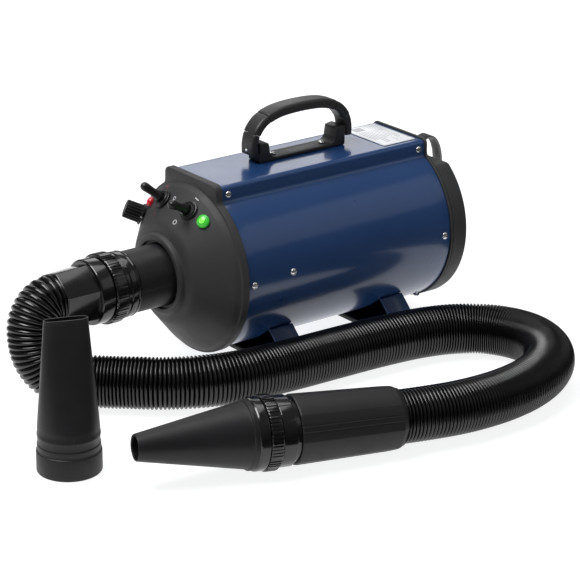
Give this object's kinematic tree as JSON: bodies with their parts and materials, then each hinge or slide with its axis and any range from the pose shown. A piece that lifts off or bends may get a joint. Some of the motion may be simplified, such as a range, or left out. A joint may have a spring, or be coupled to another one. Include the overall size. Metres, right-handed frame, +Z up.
{
  "type": "pet grooming dryer",
  "caption": "Barrel-shaped pet grooming blower with a carry handle, strap feet, front switches and speed knob, a corrugated hose with a grip and cone nozzle, and a spare flat nozzle.",
  "frame": {"origin": "centre of the front foot pad's underside, on the floor below the barrel's axis", "axes": "+X from the air outlet towards the rear filter, along the barrel; +Y to the far side, away from the side the hose lies on; +Z up"},
  "size_m": [0.5791, 0.4174, 0.2417],
  "materials": {
    "navy_paint": "gloss",
    "matte_black": "fine matte texture",
    "gloss_black": "gloss",
    "black_rubber": "matte",
    "hose_plastic": "gloss, corrugated",
    "screw_steel": "bright plated",
    "band_steel": "brushed",
    "label_film": "satin",
    "filter_foam": "open foam",
    "webbing": "woven",
    "red_lens": "gloss",
    "green_lens": "gloss, lit",
    "switch_housing": "matte",
    "motor_steel": "satin",
    "cast_alloy": "cast",
    "fan_alloy": "satin",
    "insulation_board": "matte",
    "heater_wire": "satin",
    "circuit_board": "satin"
  },
  "bodies": {
    "dryer": {"barrel_shell": "navy_paint", "front_cap": "matte_black", "rear_frame": "matte_black", "label_plate": "label_film", "cord_gland": "black_rubber", "foot_bracket_front": "navy_paint", "foot_pad_front": "black_rubber", "foot_bracket_rear": "navy_paint", "foot_pad_rear": "black_rubber", "handle_base": "matte_black", "screw_spine_front_near": "screw_steel", "screw_spine_front_far": "screw_steel", "screw_spine_rear_near": "screw_steel", "screw_spine_rear_far": "screw_steel", "screw_side_front_near": "screw_steel", "screw_side_front_far": "screw_steel", "screw_side_rear_near": "screw_steel", "screw_side_rear_far": "screw_steel", "screw_motor_near": "screw_steel", "screw_motor_far": "screw_steel", "screw_handle_front": "screw_steel", "screw_handle_rear": "screw_steel", "outlet_sleeve": "matte_black", "outlet_socket": "gloss_black", "hose_cuff": "gloss_black", "hose": "hose_plastic", "hand_grip": "matte_black", "nozzle_socket": "gloss_black", "speed_control": "switch_housing", "red_lamp": "red_lens", "green_lamp": "green_lens", "power_switch_body": "switch_housing", "power_nut": "gloss_black", "heat_switch_body": "switch_housing", "heat_nut": "gloss_black", "motor_mount": "motor_steel", "motor_housing": "cast_alloy", "heater_frame": "insulation_board", "heater_coil": "heater_wire", "control_board": "circuit_board"},
    "carry_handle": {"handle_core": "band_steel", "grip_middle": "matte_black", "grip_shoulder_front": "matte_black", "grip_shoulder_rear": "matte_black", "grip_end_front": "matte_black", "grip_end_rear": "matte_black", "handle_pin_front": "screw_steel", "handle_pin_rear": "screw_steel"},
    "filter": {"filter_cover": "matte_black", "filter_foam": "filter_foam", "filter_pull_loop": "webbing"},
    "power_toggle": {"power_lever": "black_rubber"},
    "heat_toggle": {"heat_lever": "black_rubber"},
    "speed_dial": {"speed_knob": "gloss_black"},
    "machine_ring": {"lock_ring_machine": "gloss_black"},
    "nozzle_ring": {"lock_ring_nozzle": "gloss_black"},
    "cone": {"cone_nozzle": "matte_black"},
    "spare_nozzle": {"flat_nozzle": "matte_black"},
    "rotor": {"motor_rotor": "motor_steel", "impeller": "fan_alloy"}
  },
  "joints": [
    {"name": "handle_fold", "type": "hinge", "parent": "dryer", "child": "carry_handle", "pos_m": [0.071, 0.006, 0.201], "axis": [1, 0, 0], "range_deg": [-72, 72]},
    {"name": "filter_pull", "type": "slide", "parent": "dryer", "child": "filter", "axis": [1, 0, 0], "range_m": [0, 0.06]},
    {"name": "power_switch", "type": "hinge", "parent": "dryer", "child": "power_toggle", "pos_m": [-0.08042, -0.0205, 0.16505], "axis": [0, 0.9563, 0.2924], "range_deg": [0, 28]},
    {"name": "heat_switch", "type": "hinge", "parent": "dryer", "child": "heat_toggle", "pos_m": [-0.08042, 0.02167, 0.16468], "axis": [0, -0.9511, 0.309], "range_deg": [-14, 14]},
    {"name": "speed_turn", "type": "hinge", "parent": "dryer", "child": "speed_dial", "pos_m": [-0.07858, 0.05777, 0.1377], "axis": [-0.7557, 0.5397, 0.371], "range_deg": [-135, 135]},
    {"name": "machine_ring_turn", "type": "hinge", "parent": "dryer", "child": "machine_ring", "pos_m": [-0.164, 0, 0.098], "axis": [1, 0, 0], "range_deg": [0, 40]},
    {"name": "nozzle_ring_turn", "type": "hinge", "parent": "dryer", "child": "nozzle_ring", "pos_m": [-0.15796, -0.24509, 0.03468], "axis": [-0.961, 0.2737, 0.0401], "range_deg": [0, 40]},
    {"name": "cone_pull", "type": "slide", "parent": "dryer", "child": "cone", "axis": [-0.961, 0.2737, 0.0401], "range_m": [0, 0.05]},
    {"name": "spare_nozzle_lift", "type": "slide", "parent": "dryer", "child": "spare_nozzle", "axis": [0, 0, 1], "range_m": [0, 0.15]},
    {"name": "rotor_spin", "type": "hinge", "parent": "dryer", "child": "rotor", "pos_m": [0.06, 0, 0.098], "axis": [1, 0, 0], "continuous": true}
  ]
}
